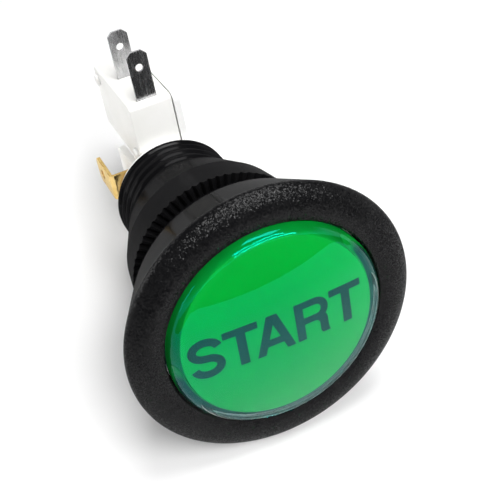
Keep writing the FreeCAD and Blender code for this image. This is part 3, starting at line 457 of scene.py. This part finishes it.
def make_thread():
    """Rounded thread ridge wound round the barrel, running into the plain ring at its end."""
    barrel_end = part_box("bezel_housing")[1].y / MM
    count = round((barrel_end - END_RING / 2 - THREAD_START) / THREAD_PITCH * ROUND_STEPS)
    section = [index / 4 - 1 for index in range(9)]
    points = []
    for step in range(count + 1):
        angle = (step / ROUND_STEPS + THREAD_PHASE) * math.tau
        middle = THREAD_START + step / ROUND_STEPS * THREAD_PITCH
        fade = min(1.0, step / ROUND_STEPS * 2)
        for across in section:
            swell = 0.5 + 0.5 * math.cos(across * math.pi)
            radius = BARREL_RADIUS - THREAD_SINK + (THREAD_HEIGHT + THREAD_SINK) * fade * swell**0.7
            along = min(middle + across * THREAD_FLANK, barrel_end - 0.05)
            points.append((radius * math.sin(angle), along, radius * math.cos(angle)))
    faces = tube_faces(count, len(section))
    thread = new_piece("barrel_thread", points, faces, MATERIALS["housing_black"], smooth=True)
    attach(thread, "housing")


def turn_round(name, profile, material, solid):
    """Turned piece, solid or a ring: profile points are (radius, place along the axis), from the front."""
    points, faces = [], []
    for step in range(ROUND_STEPS):
        angle = step / ROUND_STEPS * math.tau
        points += [(r * math.sin(angle), along, r * math.cos(angle)) for r, along in profile]
    width = len(profile)
    rows = [(k, (k + 1) % width) for k in range(width - 1 if solid else width)]
    for step in range(ROUND_STEPS):
        here, there = step * width, (step + 1) % ROUND_STEPS * width
        faces += [(here + k, there + k, there + after, here + after) for k, after in rows]
    if solid:
        faces.append(tuple(step * width for step in reversed(range(ROUND_STEPS))))
        faces.append(tuple((step + 1) * width - 1 for step in range(ROUND_STEPS)))
    piece = new_piece(name, points, faces, material, smooth=True)
    piece.data.set_sharp_from_angle(angle=SHARP_EDGE)
    return piece


def make_end_ring():
    """Plain ring round the barrel's end, as high as the thread, with its edges rounded."""
    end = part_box("bezel_housing")[1].y / MM
    low = BARREL_RADIUS - THREAD_SINK
    high = BARREL_RADIUS + THREAD_HEIGHT
    profile = [
        (low, end - END_RING),
        (high - RING_ROUND * 0.48, end - END_RING * 0.72),
        (high, end - END_RING / 2),
        (high, end - RING_ROUND),
        (high - RING_ROUND * 0.32, end - RING_ROUND * 0.28),
        (high - RING_ROUND, end),
        (low - RING_LIP, end),
    ]
    ring = turn_round("barrel_end_ring", profile, MATERIALS["housing_black"], solid=False)
    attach(ring, "housing")


def make_spring():
    """Coil spring, in place of the stiff one."""
    low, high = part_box("return_spring")
    front, back = low.y / MM + WIRE_RADIUS, high.y / MM - WIRE_RADIUS
    coil = high.x / MM - WIRE_RADIUS
    count = round(SPRING_TURNS * SPRING_STEPS)
    points = []
    for step in range(count + 1):
        turn = step / SPRING_STEPS * math.tau
        middle = front + (back - front) * step / count
        for side in range(WIRE_SIDES):
            angle = side / WIRE_SIDES * math.tau
            radius = coil + WIRE_RADIUS * math.cos(angle)
            along = middle + WIRE_RADIUS * math.sin(angle)
            points.append((radius * math.cos(turn), along, -radius * math.sin(turn)))
    faces = tube_faces(count, WIRE_SIDES)
    spring = new_piece("coil_spring", points, faces, MATERIALS["spring_steel"], smooth=True)
    face_outwards(spring.data)
    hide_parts("return_spring")
    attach(spring, "housing")
    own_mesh(spring)


def make_lens():
    """Clear lens with a polished dome that runs smoothly into its rounded shoulder."""
    low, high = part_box("lens_cap")
    apex, back, radius = low.y / MM, high.y / MM, high.x / MM
    inner = radius - LENS_WALL
    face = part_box("legend_plate")[0].y / MM - PRINT_GAP
    centre = radius - LENS_SHOULDER
    dome = centre / math.sin(LENS_DOME_ANGLE) + LENS_SHOULDER
    edge = apex + dome - (dome - LENS_SHOULDER) * math.cos(LENS_DOME_ANGLE)
    turns = [LENS_DOME_ANGLE * max(step, 0.3) / DOME_STEPS for step in range(DOME_STEPS + 1)]
    bend = math.pi / 2 - LENS_DOME_ANGLE
    bends = [LENS_DOME_ANGLE + bend * (step + 1) / SHOULDER_STEPS for step in range(SHOULDER_STEPS)]
    profile = [(dome * math.sin(a), apex + dome - dome * math.cos(a)) for a in turns]
    profile += [(centre + LENS_SHOULDER * math.sin(a), edge - LENS_SHOULDER * math.cos(a)) for a in bends]
    profile += [(radius, back), (inner, back), (inner, face), (LENS_CENTRE, face)]
    lens = turn_round("polished_lens", profile, MATERIALS["lens_clear"], solid=True)
    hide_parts("lens_cap")
    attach(lens, "button")


def make_plate():
    """Green legend plate with a rounded edge and a narrow step at its back, in place of the plain disc."""
    low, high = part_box("legend_plate")
    front, back, radius = low.y / MM, high.y / MM, high.x / MM
    step = radius - PLATE_STEP
    profile = [
        (step - PLATE_ROUND, front),
        (step - PLATE_ROUND * 0.3, front + PLATE_ROUND * 0.3),
        (step, front + PLATE_ROUND),
        (step, back - PLATE_STEP_THICKNESS),
        (radius, back - PLATE_STEP_THICKNESS),
        (radius, back),
    ]
    plate = turn_round("green_plate", profile, MATERIALS["legend_green"], solid=True)
    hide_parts("legend_plate")
    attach(plate, "button")


# Block letters: each is a list of closed outlines in a box LETTER_WIDTH by LETTER_HEIGHT
def arc(centre, radii, start, end, steps=14):
    """Points on an ellipse from start to end, in degrees."""
    angles = [math.radians(start + (end - start) * index / steps) for index in range(steps + 1)]
    return [(centre[0] + radii[0] * math.cos(a), centre[1] + radii[1] * math.sin(a)) for a in angles]


def stroke(path, width):
    """Outline of a stroke of that width along a path."""
    left, right = [], []
    for index, spot in enumerate(path):
        before = path[max(index - 1, 0)]
        after = path[min(index + 1, len(path) - 1)]
        run = Vector((after[0] - before[0], after[1] - before[1])).normalized() * (width / 2)
        left.append((spot[0] - run.y, spot[1] + run.x))
        right.append((spot[0] + run.y, spot[1] - run.x))
    return left + right[::-1]


def letter_s():
    middle = LETTER_WIDTH / 2
    over = LETTER_STROKE * 0.15
    bowl = (middle - LETTER_STROKE / 2, (LETTER_HEIGHT + 2 * over - LETTER_STROKE) / 4)
    upper = (middle, LETTER_HEIGHT + over - LETTER_STROKE / 2 - bowl[1])
    lower = (middle, LETTER_STROKE / 2 - over + bowl[1])
    path = arc(upper, bowl, 8, 250) + arc(lower, bowl, 70, -172)
    return [stroke(path, LETTER_STROKE)]


def letter_t():
    middle = LETTER_WIDTH / 2
    half = LETTER_STROKE * 0.54
    bar = LETTER_HEIGHT - LETTER_STROKE * 0.9
    return [
        [
            (middle - half, 0),
            (middle + half, 0),
            (middle + half, bar),
            (LETTER_WIDTH, bar),
            (LETTER_WIDTH, LETTER_HEIGHT),
            (0, LETTER_HEIGHT),
            (0, bar),
            (middle - half, bar),
        ]
    ]


def letter_a():
    reach = LETTER_WIDTH * 0.57
    apex = LETTER_STROKE * 0.62
    foot = LETTER_STROKE
    bar_low, bar_high, peak = (LETTER_HEIGHT * share for share in (0.2, 0.385, 0.74))
    lean = (reach - apex) / LETTER_HEIGHT
    inner_low = reach - foot - lean * bar_low
    inner_high = reach - foot - lean * bar_high
    outline = [
        (0, 0),
        (foot, 0),
        (reach - inner_low, bar_low),
        (reach + inner_low, bar_low),
        (2 * reach - foot, 0),
        (2 * reach, 0),
        (reach + apex, LETTER_HEIGHT),
        (reach - apex, LETTER_HEIGHT),
    ]
    hole = [(reach - inner_high, bar_high), (reach, peak), (reach + inner_high, bar_high)]
    return [outline, hole]


def letter_r():
    width = LETTER_WIDTH
    bowl = LETTER_HEIGHT * 0.3
    waist = LETTER_HEIGHT - 2 * bowl
    thick = LETTER_STROKE * 0.88
    shoulder = (width - bowl, waist + bowl)
    leg_right = width - LETTER_STROKE * 0.18
    leg_left = leg_right - LETTER_STROKE
    bend = LETTER_STROKE * 0.6
    outline = [
        (0, 0),
        (LETTER_STROKE, 0),
        (LETTER_STROKE, waist),
        *arc((leg_left - bend, waist - bend), (bend, bend), 90, 0, 8),
        (leg_left, LETTER_STROKE * 0.4),
        (leg_left + LETTER_STROKE * 0.2, 0),
        (width, 0),
        (leg_right, LETTER_STROKE * 0.6),
        *arc((leg_right - bend, waist - bend * 0.4), (bend, bend * 1.5), 0, 50, 6),
        *arc(shoulder, (bowl, bowl), -55, 90, 18),
        (0, LETTER_HEIGHT),
    ]
    hole = [
        (LETTER_STROKE, waist + thick),
        *arc(shoulder, (bowl - thick, bowl - thick), -90, 90, 14),
        (LETTER_STROKE, LETTER_HEIGHT - thick),
    ]
    return [outline, hole]


def make_letter(name, outlines, left, front):
    """Thin printed letter on the plate."""
    turn = Matrix.Rotation(LEGEND_TURN, 2)
    flat = [[(turn @ Vector((left + x, LEGEND_BASE + z))).to_3d() for x, z in line] for line in outlines]
    spots = [spot for line in flat for spot in line]
    count = len(spots)
    points = [(p.x, front, p.y) for p in spots] + [(p.x, front + LETTER_THICKNESS, p.y) for p in spots]
    triangles = [tuple(triangle) for triangle in tessellate_polygon(flat)]
    faces = triangles + [tuple(corner + count for corner in triangle) for triangle in triangles]
    first = 0
    for line in flat:
        for index in range(len(line)):
            here, there = first + index, first + (index + 1) % len(line)
            faces.append((here, there, there + count, here + count))
        first += len(line)
    letter = new_piece(name, points, faces, INK)
    face_outwards(letter.data)
    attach(letter, "button")


def make_legend():
    """The word on the plate, one piece a letter."""
    plate_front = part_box("legend_plate")[0].y / MM
    shapes = (letter_s(), letter_t(), letter_a(), letter_r(), letter_t())
    for index, (shape, left) in enumerate(zip(shapes, LETTER_LEFTS), start=1):
        make_letter(f"legend_letter_{index}", shape, left, plate_front - LETTER_THICKNESS - LETTER_GAP)


# Stage
def in_room(right, front, up):
    """Point in the part's frame from lengths along the room's own directions."""
    return ROOM_RIGHT * right + ROOM_FRONT * front + ROOM_UP * up


def make_floor():
    """Pale table top, tilted in the part's frame because the button lies on its side.
    Away from the part it glows white as a backdrop; near the part only the lamps light it."""
    corners = [
        (-FLOOR_SIDE, FLOOR_FRONT),
        (FLOOR_SIDE, FLOOR_FRONT),
        (FLOOR_SIDE, -FLOOR_BACK),
        (-FLOOR_SIDE, -FLOOR_BACK),
    ]
    points = [in_room(right, front, -FLOOR_DROP) for right, front in corners]
    material, tree, shader = new_material("pale_table")
    stops = [(0.2, (0.88, 0.88, 0.88)), (0.8, (0.90, 0.90, 0.90))]
    clouds = ramp(tree, noise(tree, 60.0, detail=3.0), stops)
    tree.links.new(clouds, shader.inputs["Base Color"])
    shader.inputs["Roughness"].default_value = 0.6
    shader.inputs["Specular IOR Level"].default_value = 0.2
    away = add_node(tree, "ShaderNodeVectorMath", operation="LENGTH")
    tree.links.new(place_in_part(tree), away.inputs[0])
    rise = add_node(tree, "ShaderNodeMapRange", interpolation_type="SMOOTHSTEP")
    rise.inputs["From Min"].default_value = GLOW_START * MM
    rise.inputs["From Max"].default_value = GLOW_FULL * MM
    tree.links.new(away.outputs["Value"], rise.inputs["Value"])
    glow = add_node(tree, "ShaderNodeEmission")
    share = combine(tree, "MULTIPLY", rise.outputs["Result"], rays_that_see(tree))
    surface = mix_shaders(tree, share, shader.outputs["BSDF"], glow.outputs["Emission"])
    tree.links.new(surface, tree.nodes["Material Output"].inputs["Surface"])
    floor = new_piece("table_top", points, [(0, 1, 2, 3)], material)


def make_dark_card():
    """Black studio card beyond the table's front edge, for the lens and bezel to mirror."""
    corners = [(-FLOOR_SIDE, 0), (FLOOR_SIDE, 0), (FLOOR_SIDE, CARD_HEIGHT), (-FLOOR_SIDE, CARD_HEIGHT)]
    points = [in_room(right, FLOOR_FRONT, up - FLOOR_DROP) for right, up in corners]
    material, tree, shader = new_material("dark_card")
    weave = ramp(tree, noise(tree, 1.5), [(0.3, (0.004, 0.004, 0.004)), (0.7, (0.008, 0.008, 0.008))])
    tree.links.new(weave, shader.inputs["Base Color"])
    shader.inputs["Roughness"].default_value = 0.9
    shader.inputs["Specular IOR Level"].default_value = 0.0
    card = new_piece("dark_card", points, [(0, 1, 2, 3)], material)
    card.visible_camera = False


def make_lamp(name, azimuth, height, size, power):
    """Area lamp aimed at the part: azimuth 0 is in front and 90 at the right, height is over the floor."""
    around, over = math.radians(azimuth), math.radians(height)
    flat = LAMP_DISTANCE * math.cos(over)
    place = in_room(flat * math.sin(around), flat * math.cos(around), LAMP_DISTANCE * math.sin(over))
    data = bpy.data.lights.new(name, "AREA")
    data.shape = "RECTANGLE"
    data.size = size[0] * MM
    data.size_y = size[1] * MM
    data.energy = power
    lamp = bpy.data.objects.new(name, data)
    lamp.location = place * MM
    lamp.rotation_euler = (-place).to_track_quat("-Z", "Y").to_euler()
    bpy.context.scene.collection.objects.link(lamp)


def make_world():
    """Dim room that lights the part a little, with a white backdrop all round at eye level."""
    world = bpy.data.worlds.new("pale_room")
    bpy.context.scene.world = world
    world.use_nodes = True
    tree = world.node_tree
    direction = add_node(tree, "ShaderNodeTexCoord")
    height = add_node(tree, "ShaderNodeVectorMath", operation="DOT_PRODUCT")
    height.inputs[1].default_value = ROOM_UP
    tree.links.new(direction.outputs["Generated"], height.inputs[0])
    room = ramp(tree, height.outputs["Value"], [(0.0, (0.14, 0.14, 0.14)), (0.9, (0.3, 0.3, 0.3))])
    backdrop = ramp(tree, height.outputs["Value"], [(0.34, (1, 1, 1)), (0.5, (0.06, 0.06, 0.06))])
    lighting = tree.nodes["Background"]
    tree.links.new(room, lighting.inputs["Color"])
    seen = add_node(tree, "ShaderNodeBackground")
    tree.links.new(backdrop, seen.inputs["Color"])
    light, look = lighting.outputs["Background"], seen.outputs["Background"]
    surface = mix_shaders(tree, rays_that_see(tree), light, look)
    tree.links.new(surface, tree.nodes["World Output"].inputs["Surface"])


def make_camera():
    """Camera that was fitted to the photograph."""
    back = CAMERA_RIGHT.cross(CAMERA_UP).normalized()
    right = CAMERA_UP.cross(back).normalized()
    up = back.cross(right)
    turn = Matrix((right, up, back)).transposed().to_4x4()
    data = bpy.data.cameras.new("photo_camera")
    data.lens = CAMERA_LENS
    data.sensor_width = CAMERA_SENSOR
    data.clip_start = 10 * MM
    camera = bpy.data.objects.new("photo_camera", data)
    camera.matrix_world = Matrix.Translation(CAMERA_PLACE * MM) @ turn
    bpy.context.scene.collection.objects.link(camera)
    bpy.context.scene.camera = camera


paint_nodes()
make_thread()
make_end_ring()
make_spring()
make_lens()
make_plate()
make_legend()
make_floor()
make_dark_card()
make_world()
make_lamp("key_overhead", azimuth=115, height=74, size=(300, 300), power=2.2)
make_lamp("front_strip_low", azimuth=20, height=38, size=(420, 60), power=1.3)
make_lamp("front_strip_high", azimuth=20, height=58, size=(420, 60), power=1.8)
make_lamp("left_fill", azimuth=-110, height=22, size=(400, 260), power=1.2)
make_camera()
bpy.context.scene.view_settings.view_transform = "Standard"
